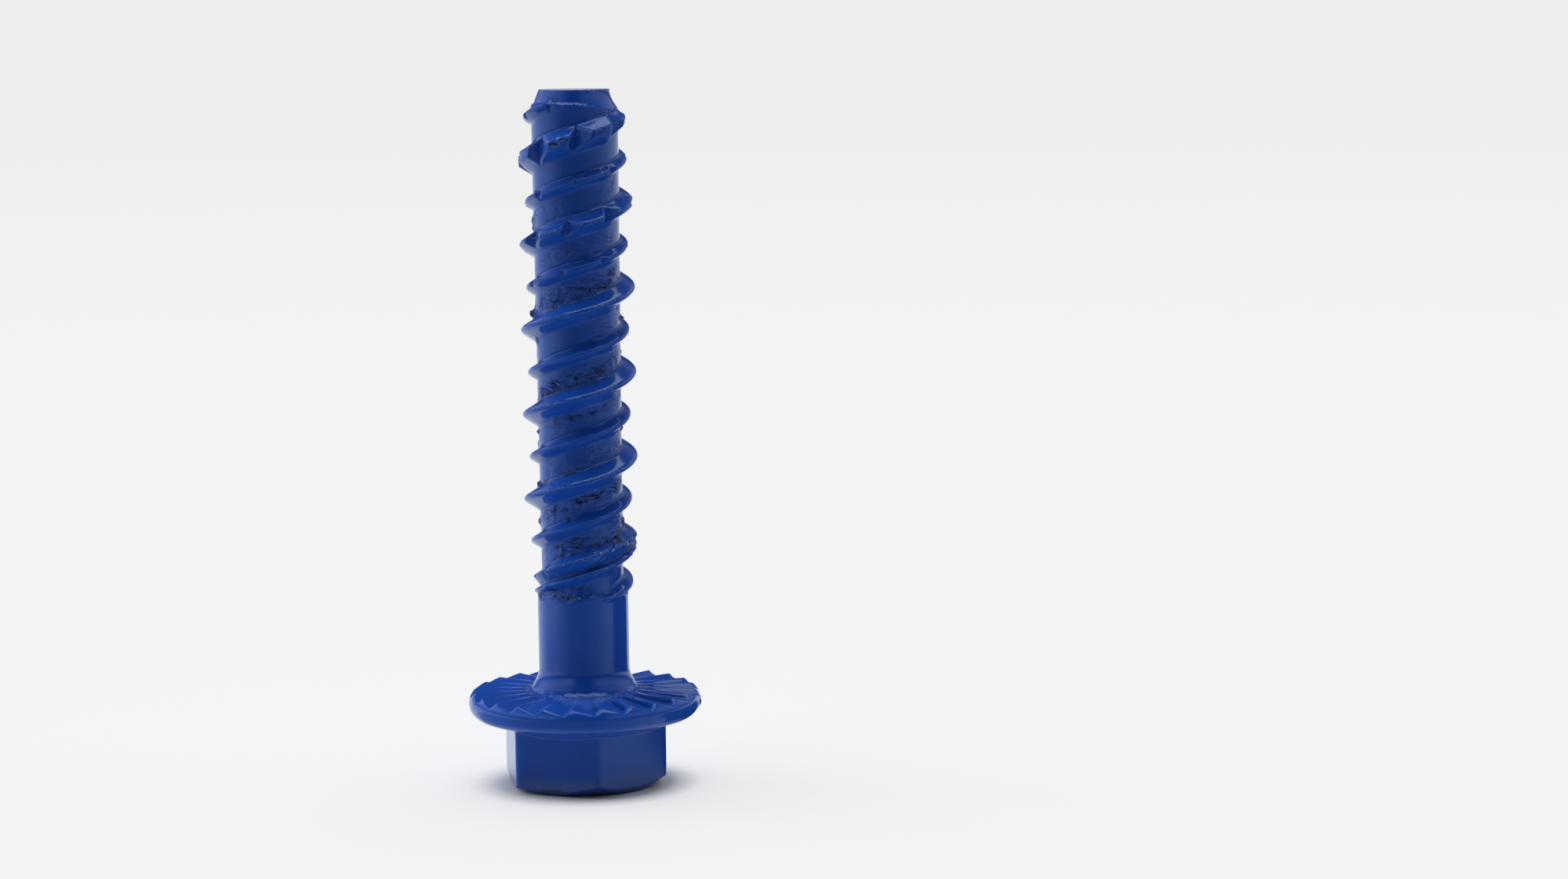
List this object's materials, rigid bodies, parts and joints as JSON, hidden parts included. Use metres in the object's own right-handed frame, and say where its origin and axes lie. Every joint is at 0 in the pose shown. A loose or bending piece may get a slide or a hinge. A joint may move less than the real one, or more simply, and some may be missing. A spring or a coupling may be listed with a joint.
{
  "type": "concrete screw",
  "caption": "Blue-coated self-tapping concrete screw with a hex flange head, a serrated bearing face, a plain shank and a coarse hi-lo thread, driven into a drilled hole in masonry.",
  "frame": {"origin": "centre of the head's end face, which the screw stands on", "axes": "+Z along the screw's axis, from the head's end face to the tip; +X through a corner of the hex"},
  "size_m": [0.02, 0.02, 0.0597],
  "materials": {
    "coated_steel": "gloss blue coating over steel"
  },
  "bodies": {
    "root": {"concrete_screw": "coated_steel"}
  },
  "joints": []
}
